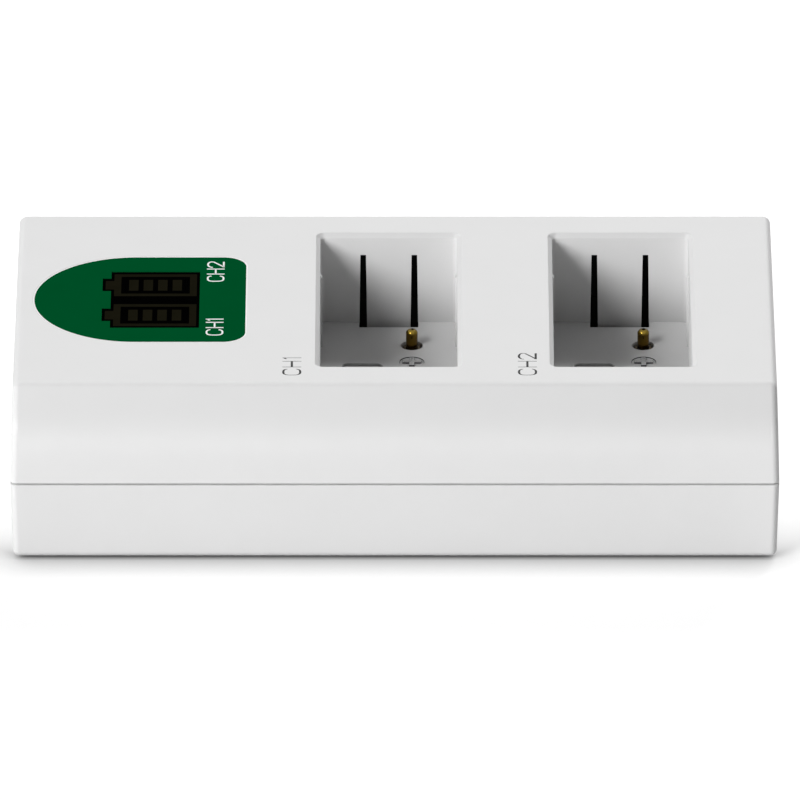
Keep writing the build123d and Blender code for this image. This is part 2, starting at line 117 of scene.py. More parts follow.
# Stage: white paper sweep, a key softbox at the front left, one behind and a low fill in front
stageLook = {
    "floorHalf": 2.0,
    "floorSinkMm": 0.02,  # just clear of the feet
    "paper": "#f0f0f0",  # what the object is lit by
    "paperNear": "#606060",  # painted shade: the same close to the case, where little light gets in
    "paperSeen": "#7c7c7c",  # what the eye sees of the lamps' light and shadow on it, under the glow
    "glowFront": 0.88,
    "glowTurnMm": (-30.6, -8.0),  # from the front of the case to where the sweep glows fully white
    "glowEase": 0.2,
    # reach of the painted contact shadow round the case
    "paintedShadowMm": 7.0,
    "fibreMm": 0.6,
    "fibreDepthMm": 0.01,
}
lampLooks = {
    # azimuth from the front, positive to the right, and elevation in degrees, distance and size in metres, and
    # the level at which a white card that faces the lamp shows
    "key_softbox": {"azimuth": -44, "elevation": 30.3, "distance": 2.0, "size": 0.9, "level": 0.98},
    "rear_softbox": {"azimuth": 158, "elevation": 36, "distance": 2.0, "size": 0.5, "level": 0.70},
    "front_fill": {"azimuth": 0, "elevation": 12, "distance": 2.5, "size": 1.0, "level": 0.04},
}


def seenRay(tree):
    # 1 for rays that show the background itself, to the eye or mirrored in a finish, otherwise 0
    path = addNode(tree, "ShaderNodeLightPath")
    seen = addNode(tree, "ShaderNodeMath", {
        0: path.outputs["Is Camera Ray"], 1: path.outputs["Is Glossy Ray"]}, operation="MAXIMUM")
    return seen.outputs[0]


def fromAngles(azimuth, elevation):
    # unit vector towards a place given by its angles
    turn, tilt = math.radians(azimuth), math.radians(elevation)
    return np.array([math.sin(turn) * math.cos(tilt), -math.cos(turn) * math.cos(tilt), math.sin(tilt)])


def aimAt(obj, target):
    # turns a lamp or the camera so that it looks from its place to the target
    way = np.array(target) - np.array(obj.location)
    run = math.hypot(way[0], way[1])
    obj.rotation_euler = (math.atan2(run, -way[2]), 0, math.atan2(-way[0], way[1]))


def softLamp(name, look, target):
    # round softbox; a white card at distance d shows the level 1 at pi squared times d squared watts
    lamp = bpy.data.lights.new(name, "AREA")
    lamp.shape = "DISK"
    lamp.size = look["size"]
    lamp.energy = look["level"] * (math.pi * look["distance"]) ** 2
    obj = bpy.data.objects.new(name, lamp)
    obj.location = np.array(target) + look["distance"] * fromAngles(look["azimuth"], look["elevation"])
    scene.collection.objects.link(obj)
    aimAt(obj, target)


def paperSweep(look):
    # matt white paper, lit from behind: it glows to the eye so that it reads white, fully so at the rear, and
    # in front its colour and its glow darken where it nears the case, as painted contact shadow
    material, tree, place = newMaterial("white_paper_sweep")
    seen = seenRay(tree)
    fibre = addNode(tree, "ShaderNodeTexNoise", {
        "Vector": place, "Scale": perMetre(look["fibreMm"]), "Detail": 3.0})
    bump = addNode(tree, "ShaderNodeBump", {
        "Height": fibre.outputs["Fac"], "Distance": look["fibreDepthMm"] * mm})
    # painted shade: the paper's colour darkens where the case closes it in
    near = addNode(tree, "ShaderNodeAmbientOcclusion", {"Distance": look["paintedShadowMm"] * mm}, samples=16)
    tint = addNode(tree, "ShaderNodeMix", {
        0: near.outputs["AO"], 6: toLinear(look["paperNear"]), 7: toLinear(look["paper"])}, data_type="RGBA")
    tint = addNode(tree, "ShaderNodeMix", {
        0: seen, 6: tint.outputs[2], 7: toLinear(look["paperSeen"])}, data_type="RGBA")
    paper = addNode(tree, "ShaderNodeBsdfDiffuse", {"Color": tint.outputs[2], "Normal": bump.outputs[0]})
    along = addNode(tree, "ShaderNodeSeparateXYZ", {0: place}).outputs[1]
    turn = addNode(tree, "ShaderNodeMapRange", {
        "Value": along, "From Min": look["glowTurnMm"][0] * mm, "From Max": look["glowTurnMm"][1] * mm})
    rear = addNode(tree, "ShaderNodeMath", {0: turn.outputs[0], 1: look["glowEase"]}, operation="POWER")
    # painted contact shadow: in front, the glow dims where the case closes the paper in
    front = addNode(tree, "ShaderNodeMath", {
        0: near.outputs["AO"], 1: look["glowFront"]}, operation="MULTIPLY")
    glow = addNode(tree, "ShaderNodeMath", {0: front.outputs[0], 1: rear.outputs[0]}, operation="MAXIMUM")
    strength = addNode(tree, "ShaderNodeMath", {0: seen, 1: glow.outputs[0]}, operation="MULTIPLY")
    light = addNode(tree, "ShaderNodeEmission", {"Strength": strength.outputs[0]})
    both = addNode(tree, "ShaderNodeAddShader", {0: paper.outputs[0], 1: light.outputs[0]})
    return finishMaterial(material, both)


def makeStage(look, target):
    half = look["floorHalf"]
    mesh = bpy.data.meshes.new("floor")
    low = look["floorSinkMm"] * -mm
    corners = [(-half, -half, low), (half, -half, low), (half, half, low), (-half, half, low)]
    mesh.from_pydata(corners, [], [(0, 1, 2, 3)])
    mesh.materials.append(paperSweep(look))
    floor = bpy.data.objects.new("floor", mesh)
    scene.collection.objects.link(floor)
    # the world is white to the eye and lights nothing by itself
    world = bpy.data.worlds.new("studio")
    scene.world = world
    world.use_nodes = True
    tree = world.node_tree
    tree.nodes.clear()
    sky = addNode(tree, "ShaderNodeBackground", {"Color": (1, 1, 1, 1), "Strength": seenRay(tree)})
    addNode(tree, "ShaderNodeOutputWorld", {"Surface": sky.outputs[0]})
    for name, lamp in lampLooks.items():
        softLamp(name, lamp, target)


# Camera: long lens from the front, looking 25 degrees down
cameraLook = {
    "elevation": 25.0,
    "distance": 2.8,
    "lens": 833.8,
    "sensor": 36.0,
    "aim": (0.78 * mm, 0, 11.19 * mm),
}


def makeCamera(look):
    data = bpy.data.cameras.new("photo_camera")
    data.lens = look["lens"]
    data.sensor_width = look["sensor"]
    obj = bpy.data.objects.new("photo_camera", data)
    obj.location = np.array(look["aim"]) + look["distance"] * fromAngles(0, look["elevation"])
    scene.collection.objects.link(obj)
    aimAt(obj, look["aim"])
    scene.camera = obj


scene.view_settings.view_transform = "Standard"
makeCamera(cameraLook)
makeStage(stageLook, cameraLook["aim"])
print("stage, lamps and camera set")


# White case, painted near-black on its inside and darker down in the wells, both as painted shade
caseLook = {
    "white": ("#e5e5e5", "#e8e8e8"),
    # painted shade: the near-black that the inside of the case is painted
    "coat": "#060606",
    "wellShade": 0.77,  # share of the white that the painted shade leaves on the floor of a well
    "backShade": 0.56,  # the same at the foot of its back wall, where the painted shade is deepest
    "cloudMm": 9.0,
    "grainMm": 0.25,
    "grainDepthMm": 0.004,
    "edgeMm": 0.12,
    "creviceMm": 0.3,  # reach of the painted shade that the walls of a recess in a well's floor put on what lies in it
    "sunkMm": 0.02,  # what lies this far under that floor is in a recess
    "backFacing": -0.7,  # a wall whose normal has less than this along Y is a back wall
    "roughness": (0.60, 0.72),
    "ior": 1.53,
    "specular": 0.3,
    "wellGrowMm": (0.42, 0.19),  # from the stated opening to just past the well's walls
    "wellDepthMm": 14.7,
    "wellSinkMm": 0.85,
    "insideMm": (1.3, 1.3, 1.5),  # from the outside of the case to the middle of its walls
    "insideLowMm": 1.85,
    "bandInsideMm": 1.4,  # the same along Y at the sloped band
    "bandMm": 5.15,
    "creaseMm": (16.0, 24.0),  # heights between which the front wall turns softly into the band
    "creaseLean": (1.5, 45.0),  # how far the wall and the band lean back, in degrees
    "creaseEndMm": 1.3,  # from the sides to where the corners begin to round
    "creaseFrontMm": 1.0,  # how far in front of the wall the softened strip starts
}
wells = [np.array(opening["box_m"]) / mm for opening in record["physics"]["openings"]]


def insideBox(tree, place, low, high):
    # 1 inside a box given by two corners in millimetres, from the largest of the distances past its walls
    middle = (np.array(low) + np.array(high)) / 2 * mm
    half = (np.array(high) - np.array(low)) / 2 * mm
    shift = addNode(tree, "ShaderNodeVectorMath", {0: place, 1: tuple(middle)}, operation="SUBTRACT")
    size = addNode(tree, "ShaderNodeVectorMath", {0: shift.outputs[0]}, operation="ABSOLUTE")
    past = addNode(tree, "ShaderNodeVectorMath", {0: size.outputs[0], 1: tuple(half)}, operation="SUBTRACT")
    axes = addNode(tree, "ShaderNodeSeparateXYZ", {0: past.outputs[0]})
    far = addNode(tree, "ShaderNodeMath", {0: axes.outputs[0], 1: axes.outputs[1]}, operation="MAXIMUM")
    far = addNode(tree, "ShaderNodeMath", {0: far.outputs[0], 1: axes.outputs[2]}, operation="MAXIMUM")
    return addNode(tree, "ShaderNodeMath", {0: far.outputs[0], 1: 0.0}, operation="LESS_THAN").outputs[0]


def wellMask(tree, place, look):
    # 1 on the walls and floors of the open wells
    topZ = nodeBox("top_cover")[1][2]
    floorZ = topZ - look["wellDepthMm"]
    growX, growY = look["wellGrowMm"]
    masks = [
        insideBox(tree, place, (low[0] - growX, low[1] - growY, floorZ - look["wellSinkMm"]),
                  (high[0] + growX, high[1] + growY, topZ))
        for low, high in wells
    ]
    return addNode(tree, "ShaderNodeMath", {0: masks[0], 1: masks[1]}, operation="MAXIMUM").outputs[0]


def insideMask(tree, place, look):
    # 1 inside the case walls and behind the sloped band
    coverLow, coverHigh = nodeBox("top_cover")
    low = coverLow + look["insideMm"]
    low[2] = nodeBox("base_tray")[0][2] + look["insideLowMm"]
    walls = insideBox(tree, place, low, coverHigh - look["insideMm"])
    axes = addNode(tree, "ShaderNodeSeparateXYZ", {0: place})
    run = addNode(tree, "ShaderNodeMath", {0: axes.outputs[1], 1: axes.outputs[2]}, operation="SUBTRACT")
    bandRun = coverLow[1] + look["bandMm"] - coverHigh[2] + look["bandInsideMm"]
    behind = addNode(tree, "ShaderNodeMath", {0: run.outputs[0], 1: bandRun * mm}, operation="GREATER_THAN")
    return addNode(tree, "ShaderNodeMath", {0: walls, 1: behind.outputs[0]}, operation="MULTIPLY").outputs[0]


def softCrease(tree, place, height, normal, look):
    # the tool is polished along the crease under the band, so the light turns over a wider strip than its
    # radius: the normal goes from the wall's to the band's, eased by the height
    coverLow, coverHigh = nodeBox("top_cover")
    lowZ, highZ = look["creaseMm"]
    strip = insideBox(
        tree, place, (coverLow[0] + look["creaseEndMm"], coverLow[1] - look["creaseFrontMm"], lowZ),
        (coverHigh[0] - look["creaseEndMm"], coverLow[1] + look["bandMm"], highZ))
    turn = addNode(tree, "ShaderNodeMapRange", {
        "Value": height, "From Min": lowZ * mm, "From Max": highZ * mm}, interpolation_type="SMOOTHSTEP")
    wall, band = [tuple(fromAngles(0, lean)) for lean in look["creaseLean"]]
    soft = addNode(tree, "ShaderNodeMix", {0: turn.outputs[0], 4: wall, 5: band}, data_type="VECTOR")
    soft = addNode(tree, "ShaderNodeVectorMath", {0: soft.outputs[1]}, operation="NORMALIZE")
    chosen = addNode(tree, "ShaderNodeMix", {0: strip, 4: normal, 5: soft.outputs[0]}, data_type="VECTOR")
    return chosen.outputs[1]


def paintWellShade(tree, height, inWell, tint, look):
    # painted shade, evenly darker towards the foot of a well, most on its back wall, and in its floor's recesses
    topZ = nodeBox("top_cover")[1][2]
    floorZ = topZ - look["wellDepthMm"]
    black = (0, 0, 0, 1)
    depth = addNode(tree, "ShaderNodeMapRange", {
        "Value": height, "From Min": topZ * mm, "From Max": floorZ * mm})
    normal = addNode(tree, "ShaderNodeNewGeometry").outputs["Normal"]
    facing = addNode(tree, "ShaderNodeSeparateXYZ", {0: normal}).outputs[1]
    back = addNode(tree, "ShaderNodeMath", {0: facing, 1: look["backFacing"]}, operation="LESS_THAN")
    most = addNode(tree, "ShaderNodeMapRange", {
        "Value": back.outputs[0], "To Min": 1.0 - look["wellShade"], "To Max": 1.0 - look["backShade"]})
    shade = addNode(tree, "ShaderNodeMath", {0: depth.outputs[0], 1: most.outputs[0]}, operation="MULTIPLY")
    shade = addNode(tree, "ShaderNodeMath", {0: shade.outputs[0], 1: inWell}, operation="MULTIPLY")
    tint = addNode(tree, "ShaderNodeMix", {0: shade.outputs[0], 6: tint, 7: black}, data_type="RGBA")
    # painted shade in the recesses under the well's floor, darker where the walls close in
    near = addNode(tree, "ShaderNodeAmbientOcclusion", {"Distance": look["creviceMm"] * mm}, samples=8)
    sunk = addNode(tree, "ShaderNodeMath", {
        0: height, 1: (floorZ - look["sunkMm"]) * mm}, operation="LESS_THAN")
    gap = addNode(tree, "ShaderNodeMath", {0: 1.0, 1: near.outputs["AO"]}, operation="SUBTRACT")
    gap = addNode(tree, "ShaderNodeMath", {0: gap.outputs[0], 1: sunk.outputs[0]}, operation="MULTIPLY")
    tint = addNode(tree, "ShaderNodeMix", {0: gap.outputs[0], 6: tint.outputs[2], 7: black}, data_type="RGBA")
    return tint.outputs[2]


def mouldedAbs(look):
    # ABS from a finely spark-eroded tool: soft satin white with a faint grain, darker down in the wells as
    # painted shade, and painted near-black inside as painted shade, so that the slots of the spring tongues look
    # black
    material, tree, place = newMaterial("satin_moulded_abs")
    inWell = wellMask(tree, place, look)
    inside = insideMask(tree, place, look)
    # painted shade: near-black on the inside of the case, outside the wells
    insideShade = addNode(tree, "ShaderNodeMath", {0: inside, 1: inWell}, operation="SUBTRACT", use_clamp=True)
    cloud = addNode(tree, "ShaderNodeTexNoise", {
        "Vector": place, "Scale": perMetre(look["cloudMm"]), "Detail": 2.0})
    dull, clean = [toLinear(shade) for shade in look["white"]]
    tint = addNode(tree, "ShaderNodeMix", {0: cloud.outputs["Fac"], 6: dull, 7: clean}, data_type="RGBA")
    height = addNode(tree, "ShaderNodeSeparateXYZ", {0: place}).outputs[2]
    shaded = paintWellShade(tree, height, inWell, tint.outputs[2], look)
    tint = addNode(tree, "ShaderNodeMix", {
        0: insideShade.outputs[0], 6: shaded, 7: toLinear(look["coat"])}, data_type="RGBA")
    grain = addNode(tree, "ShaderNodeTexNoise", {
        "Vector": place, "Scale": perMetre(look["grainMm"]), "Detail": 2.0})
    rough = addNode(tree, "ShaderNodeMapRange", {
        "Value": grain.outputs["Fac"], "To Min": look["roughness"][0], "To Max": look["roughness"][1]})
    edge = addNode(tree, "ShaderNodeBevel", {"Radius": look["edgeMm"] * mm}, samples=4)
    normal = softCrease(tree, place, height, edge.outputs[0], look)
    bump = addNode(tree, "ShaderNodeBump", {
        "Height": grain.outputs["Fac"], "Distance": look["grainDepthMm"] * mm, "Normal": normal})
    shader = addNode(tree, "ShaderNodeBsdfPrincipled", {
        "Base Color": tint.outputs[2], "Roughness": rough.outputs[0], "IOR": look["ior"],
        "Specular IOR Level": look["specular"], "Normal": bump.outputs[0]})
    return finishMaterial(material, shader)


# Finishes that are two close shades clouded together, with a grain in the gloss and in the relief
mottledLooks = {
    # acrylic sheet, die-cut and printed green on the back: deep even green with hardly any gloss
    "printed_acrylic": {"shades": ("#004f27", "#00532a"), "cloudMm": 5.0, "grainMm": 0.5, "depthMm": 0.0005,
                        "roughness": (0.40, 0.50), "ior": 1.49, "specular": 0.0},
    # dark display body, moulded smooth: black that takes the light away
    "smoked_polycarbonate": {"shades": ("#010101", "#030303"), "cloudMm": 3.0, "grainMm": 0.3,
                             "depthMm": 0.0005, "roughness": (0.35, 0.45), "ior": 1.58, "specular": 0.0},
    # unlit segments, cast in smoked resin: brown-black bars in the black display
    "smoked_epoxy": {"shades": ("#16150d", "#1c1a11"), "cloudMm": 1.2, "grainMm": 0.2, "depthMm": 0.0005,
                     "roughness": (0.40, 0.55), "ior": 1.55, "specular": 0.0},
    # liquid crystal polymer of the inlet's tongue, moulded: dull black
    "moulded_polymer": {"shades": ("#111113", "#19191b"), "cloudMm": 1.0, "grainMm": 0.12, "depthMm": 0.002,
                        "roughness": (0.50, 0.65), "ior": 1.6, "specular": 0.5},
    # nylon of the ribbon sockets, moulded: warm cream with a slight bloom
    "moulded_nylon": {"shades": ("#cfc8b4", "#d8d2c0"), "cloudMm": 2.0, "grainMm": 0.2, "depthMm": 0.002,
                      "roughness": (0.45, 0.60), "ior": 1.53, "specular": 0.5},
    # epoxy chip packages, transfer moulded: charcoal with a fine sandy face
    "moulded_epoxy": {"shades": ("#161617", "#1e1e20"), "cloudMm": 1.0, "grainMm": 0.1, "depthMm": 0.003,
                      "roughness": (0.55, 0.70), "ior": 1.55, "specular": 0.5},
    # ferrite of the power coils, pressed and sintered: dark grey and slightly pitted
    "sintered_ferrite": {"shades": ("#2a2a2d", "#3b3b3f"), "cloudMm": 0.8, "grainMm": 0.15, "depthMm": 0.006,
                         "roughness": (0.60, 0.75), "ior": 1.6, "specular": 0.5},
    # rubber feet, compression moulded: near black and dull, with a fine dusty grain
    "moulded_rubber": {"shades": ("#262627", "#303031"), "cloudMm": 2.0, "grainMm": 0.18, "depthMm": 0.010,
                       "roughness": (0.75, 0.90), "ior": 1.52, "specular": 0.4},
    # dark pad-printing ink of the channel marks on the case, thin and matt; near-black painted shade on the plus
    # signs
    "dark_ink_and_painted_shade": {"shades": ("#0e0e10", "#151517"), "cloudMm": 0.5, "grainMm": 0.1, "depthMm": 0.001,
                 "roughness": (0.55, 0.70), "ior": 1.5, "specular": 0.2},
    # silicone bead that seals the window in its cut, squeezed flush while wet: clean bright white
    "cured_silicone": {"shades": ("#f2f2f0", "#f8f8f6"), "cloudMm": 1.5, "grainMm": 0.2, "depthMm": 0.001,
                       "roughness": (0.35, 0.45), "ior": 1.41, "specular": 0.3},
    # white screen-printing ink of the channel marks on the window: opaque and matt
    "white_ink": {"shades": ("#eef0ee", "#f6f7f6"), "cloudMm": 0.5, "grainMm": 0.1, "depthMm": 0.001,
                  "roughness": (0.55, 0.70), "ior": 1.5, "specular": 0.2},
}


def mottledFinish(name, look):
    material, tree, place = newMaterial(name)
    cloud = addNode(tree, "ShaderNodeTexNoise", {
        "Vector": place, "Scale": perMetre(look["cloudMm"]), "Detail": 3.0})
    dark, pale = [toLinear(shade) for shade in look["shades"]]
    tint = addNode(tree, "ShaderNodeMix", {0: cloud.outputs["Fac"], 6: dark, 7: pale}, data_type="RGBA")
    grain = addNode(tree, "ShaderNodeTexNoise", {
        "Vector": place, "Scale": perMetre(look["grainMm"]), "Detail": 2.0})
    rough = addNode(tree, "ShaderNodeMapRange", {
        "Value": grain.outputs["Fac"], "To Min": look["roughness"][0], "To Max": look["roughness"][1]})
    bump = addNode(tree, "ShaderNodeBump", {"Height": grain.outputs["Fac"], "Distance": look["depthMm"] * mm})
    shader = addNode(tree, "ShaderNodeBsdfPrincipled", {
        "Base Color": tint.outputs[2], "Roughness": rough.outputs[0], "IOR": look["ior"],
        "Specular IOR Level": look["specular"], "Normal": bump.outputs[0]})
    return finishMaterial(material, shader)


# Metals with tool lines: bands across one axis, at the pitch of the cutter, the die or the brush
metalLooks = {
    # brass, turned and lacquered: deep yellow-brown with fine rings round the pin, painted shade in the gap at
    # its foot
    "turned_brass": {"shades": ("#54400f", "#6a5118"), "axis": "Z", "pitchMm": 0.09, "waver": 0.4,
                     "depthMm": 0.0002, "roughness": (0.06, 0.12), "tarnishAndShade": "#0d0701", "tarnishAndShadeMm": 1.2,
                     "coat": (0.12, 0.06),  # weight and roughness of the lacquer
                     "paintedHighlight": "#86702a", "paintedHighlightMm": (0.7, 0.3)},  # painted highlight: a brighter crown, so that its reflections come out brighter
    # gold flash on the copper strips of the inlet, plated: bright warm yellow with faint brush lines
    "gold_flash": {"shades": ("#c79f45", "#d9b45e"), "axis": "X", "pitchMm": 0.03, "waver": 1.0,
                   "depthMm": 0.0003, "roughness": (0.18, 0.28), "tarnishAndShade": "#3a2a0c", "tarnishAndShadeMm": 0.1},
    # spring steel, drawn to wire: grey with draw lines
    "drawn_steel_wire": {"shades": ("#8c8c8e", "#a3a3a6"), "axis": "Z", "pitchMm": 0.05, "waver": 2.0,
                         "depthMm": 0.001, "roughness": (0.28, 0.40), "tarnishAndShade": "#2c2b2a", "tarnishAndShadeMm": 0.2},
    # nickel-plated steel sheet of the inlet, deep drawn: bright with faint lines along the draw
    "drawn_nickel_steel": {"shades": ("#a8a8a6", "#bdbdbb"), "axis": "X", "pitchMm": 0.12, "waver": 1.5,
                           "depthMm": 0.0008, "roughness": (0.22, 0.34), "tarnishAndShade": "#4a4a48", "tarnishAndShadeMm": 0.3},
    # zinc-plated screws: cold grey with a slight haze
    "zinc_plated_steel": {"shades": ("#87898c", "#a0a2a5"), "axis": "Z", "pitchMm": 0.15, "waver": 3.0,
                          "depthMm": 0.001, "roughness": (0.30, 0.45), "tarnishAndShade": "#333436", "tarnishAndShadeMm": 0.3},
    # aluminium can of the capacitor, drawn: pale with fine upright lines
    "drawn_aluminium": {"shades": ("#c2c3c5", "#d2d3d5"), "axis": "X", "pitchMm": 0.10, "waver": 2.0,
                        "depthMm": 0.001, "roughness": (0.28, 0.38), "tarnishAndShade": "#77787a", "tarnishAndShadeMm": 0.3},
}


def linedMetal(name, look):
    material, tree, place = newMaterial(name)
    lines = addNode(tree, "ShaderNodeTexWave", {
        "Vector": place, "Scale": bandScale(look["pitchMm"]), "Distortion": look["waver"], "Detail": 2.0},
        bands_direction=look["axis"])
    dark, pale = [toLinear(shade) for shade in look["shades"]]
    tint = addNode(tree, "ShaderNodeMix", {0: lines.outputs["Fac"], 6: dark, 7: pale}, data_type="RGBA")
    # darker where the metal is closed in: tarnish in hollows, and painted shade in the gap at the brass pin's
    # foot
    near = addNode(tree, "ShaderNodeAmbientOcclusion", {"Distance": look["tarnishAndShadeMm"] * mm}, samples=8)
    tint = addNode(tree, "ShaderNodeMix", {
        0: near.outputs["AO"], 6: toLinear(look["tarnishAndShade"]), 7: tint.outputs[2]}, data_type="RGBA")
    # painted highlight: a brighter base colour near the top of the plunger's crown
    if "paintedHighlight" in look:
        crownZ = nodeBox("contact_plunger_1_plus")[1][2]
        startZ, fullZ = crownZ - np.array(look["paintedHighlightMm"])
        height = addNode(tree, "ShaderNodeSeparateXYZ", {0: place}).outputs[2]
        highlightBand = addNode(tree, "ShaderNodeMapRange", {
            "Value": height, "From Min": startZ * mm, "From Max": fullZ * mm})
        tint = addNode(tree, "ShaderNodeMix", {
            0: highlightBand.outputs[0], 6: tint.outputs[2], 7: toLinear(look["paintedHighlight"])}, data_type="RGBA")
    rough = addNode(tree, "ShaderNodeMapRange", {
        "Value": lines.outputs["Fac"], "To Min": look["roughness"][0], "To Max": look["roughness"][1]})
    bump = addNode(tree, "ShaderNodeBump", {"Height": lines.outputs["Fac"], "Distance": look["depthMm"] * mm})
    lacquer, lacquerRough = look.get("coat", (0.0, 0.0))
    shader = addNode(tree, "ShaderNodeBsdfPrincipled", {
        "Base Color": tint.outputs[2], "Metallic": 1.0, "Roughness": rough.outputs[0],
        "Coat Weight": lacquer, "Coat Roughness": lacquerRough, "Normal": bump.outputs[0]})
    return finishMaterial(material, shader)


# Circuit boards, and the ribbon cable that joins them
boardLook = {"mask": ("#0b3a20", "#0e4426"), "copper": "#1c6a3c", "traceMm": (5.0, 1.3), "traceWidthMm": 0.25,
             "traceRiseMm": 0.03, "traceSoft": 0.1, "weaveMm": 0.4, "roughness": 0.3, "ior": 1.52}


def solderMask(look):
    # glass laminate under green solder mask, with the copper tracks showing as paler raised lines
    material, tree, place = newMaterial("solder_mask_laminate")
    weave = addNode(tree, "ShaderNodeTexNoise", {
        "Vector": place, "Scale": perMetre(look["weaveMm"]), "Detail": 2.0})
    dark, pale = [toLinear(shade) for shade in look["mask"]]
    mask = addNode(tree, "ShaderNodeMix", {0: weave.outputs["Fac"], 6: dark, 7: pale}, data_type="RGBA")
    tracks = addNode(tree, "ShaderNodeTexBrick", {
        "Vector": place, "Scale": 1.0, "Mortar Size": look["traceWidthMm"] / 2 * mm,
        "Mortar Smooth": look["traceSoft"], "Brick Width": look["traceMm"][0] * mm,
        "Row Height": look["traceMm"][1] * mm})
    tint = addNode(tree, "ShaderNodeMix", {
        0: tracks.outputs["Fac"], 6: mask.outputs[2], 7: toLinear(look["copper"])}, data_type="RGBA")
    bump = addNode(tree, "ShaderNodeBump", {
        "Height": tracks.outputs["Fac"], "Distance": look["traceRiseMm"] * mm})
    shader = addNode(tree, "ShaderNodeBsdfPrincipled", {
        "Base Color": tint.outputs[2], "Roughness": look["roughness"], "IOR": look["ior"],
        "Normal": bump.outputs[0]})
    return finishMaterial(material, shader)


ribbonLook = {"film": "#dcdcd6", "wire": "#a9a79a", "pitchMm": 0.5, "riseMm": 0.03, "roughness": 0.35,
              "ior": 1.57}


def ribbonFilm(look):
    # polyester film laminated over flat wires: pale with a grey stripe for each wire
    material, tree, place = newMaterial("laminated_polyester_film")
    wires = addNode(tree, "ShaderNodeTexWave", {
        "Vector": place, "Scale": bandScale(look["pitchMm"])}, bands_direction="Y")
    tint = addNode(tree, "ShaderNodeMix", {
        0: wires.outputs["Fac"], 6: toLinear(look["film"]), 7: toLinear(look["wire"])}, data_type="RGBA")
    bump = addNode(tree, "ShaderNodeBump", {"Height": wires.outputs["Fac"], "Distance": look["riseMm"] * mm})
    shader = addNode(tree, "ShaderNodeBsdfPrincipled", {
        "Base Color": tint.outputs[2], "Roughness": look["roughness"], "IOR": look["ior"],
        "Normal": bump.outputs[0]})
    return finishMaterial(material, shader)


finishes = {name: mottledFinish(name, look) for name, look in mottledLooks.items()}
finishes.update({name: linedMetal(name, look) for name, look in metalLooks.items()})
slotFinish = {
    "white_abs": mouldedAbs(caseLook),
    "green_lens": finishes["printed_acrylic"],
    "display_black": finishes["smoked_polycarbonate"],
    "segment_resin": finishes["smoked_epoxy"],
    "contact_brass": finishes["turned_brass"],
    "spring_steel": finishes["drawn_steel_wire"],
    "inlet_steel": finishes["drawn_nickel_steel"],
    "black_plastic": finishes["moulded_polymer"],
    "circuit_board": solderMask(boardLook),
    "ribbon_film": ribbonFilm(ribbonLook),
    "socket_plastic": finishes["moulded_nylon"],
    "chip_resin": finishes["moulded_epoxy"],
    "ferrite": finishes["sintered_ferrite"],
    "can_aluminium": finishes["drawn_aluminium"],
    "screw_steel": finishes["zinc_plated_steel"],
    "foot_rubber": finishes["moulded_rubber"],
}
for part in record["subparts"]:
    nodes[part["node"]].material_slots[0].material = slotFinish[part["material_slot"]]
print("finishes set on", len(record["subparts"]), "CAD nodes")


# Meshes of the small forms
pieceLook = {
    "weldMm": 1e-5,  # points closer than this are one
    "sliverMm": 1e-6,  # edges shorter than this go
    "crisp": 20,  # edges that turn by more degrees than this stay sharp, where a piece doesn't say otherwise
}


def gridFaces(rows, columns, wrapRows, wrapColumns):
    # quads of a grid of points kept row by row; a wrapped side joins its last line to its first
    i, j = np.meshgrid(np.arange(rows if wrapRows else rows - 1),
                       np.arange(columns if wrapColumns else columns - 1), indexing="ij")
    nextI = (i + 1) % rows
    nextJ = (j + 1) % columns
    quads = np.stack([i * columns + j, nextI * columns + j, nextI * columns + nextJ, i * columns + nextJ], -1)
    return quads.reshape(-1, 4)


def endFaces(rows):
    # the two caps of a grid whose rows are closed profiles of four points
    return np.array([[3, 2, 1, 0], np.arange(4) + rows * 4 - 4])


def addPiece(name, points, faces, finish, crisp=pieceLook["crisp"]):
    # mesh from points in millimetres, doubles merged, faces turned outwards, riding on the case
    mesh = bpy.data.meshes.new(name)
    mesh.from_pydata((np.asarray(points).reshape(-1, 3) * mm).tolist(), [], [list(map(int, f)) for f in faces])
    shape = bmesh.new()
    shape.from_mesh(mesh)
    bmesh.ops.remove_doubles(shape, verts=shape.verts, dist=pieceLook["weldMm"] * mm)
    bmesh.ops.dissolve_degenerate(shape, edges=shape.edges, dist=pieceLook["sliverMm"] * mm)
    bmesh.ops.recalc_face_normals(shape, faces=shape.faces)
    shape.to_mesh(mesh)
    shape.free()
    mesh.polygons.foreach_set("use_smooth", [True] * len(mesh.polygons))
    mesh.set_sharp_from_angle(angle=math.radians(crisp))
    mesh.materials.append(finish)
    obj = bpy.data.objects.new(name, mesh)
    scene.collection.objects.link(obj)
    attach(obj, "charger")
    return obj


# Channel marks: plain letters drawn with a flat pen, read from the right-hand side
markLooks = {
    # cap height, pen width across the height and along the words, and lift of the ink
    "window": {"cap": 2.66, "pen": (0.27, 0.30), "lift": 0.02, "finish": "white_ink", "slot": "green_lens"},
    "case": {"cap": 2.86, "pen": (0.33, 0.13), "lift": 0.004, "finish": "dark_ink_and_painted_shade", "slot": "white_abs"},
}
marks = [
    # name, kind, middle of the letters along X, start of the words along Y, letters with their spans
    ("window_mark_1", "window", -27.1, -11.08, (("C", 0, 2.26), ("H", 2.65, 4.85), ("1", 5.2, 6.0))),
    ("window_mark_2", "window", -27.1, 8.28, (("C", 0, 2.26), ("H", 2.63, 4.75), ("2", 5.1, 7.35))),
    ("case_mark_1", "case", -15.41, -25.35, (("C", 0, 2.3), ("H", 2.86, 5.02), ("1", 5.7, 6.24))),
    ("case_mark_2", "case", 19.85, -25.35, (("C", 0, 2.3), ("H", 2.86, 5.02), ("2", 5.65, 7.86))),
]
letterLook = {
    # turns are in degrees, the rest are shares of the letter's width and height
    "openTurn": (22, 338),
    "openSteps": 48,
    "squareness": 2 / 3,
    "bowlTurn": (190, 0),
    "bowlSteps": 24,
    "bowlHigh": 0.26,
    "slope": [(0.96, 0.62), (0.06, 0.0)],
    "barHigh": 0.5,
    "flagHigh": 0.82,
    "penEnd": 0.06,
}


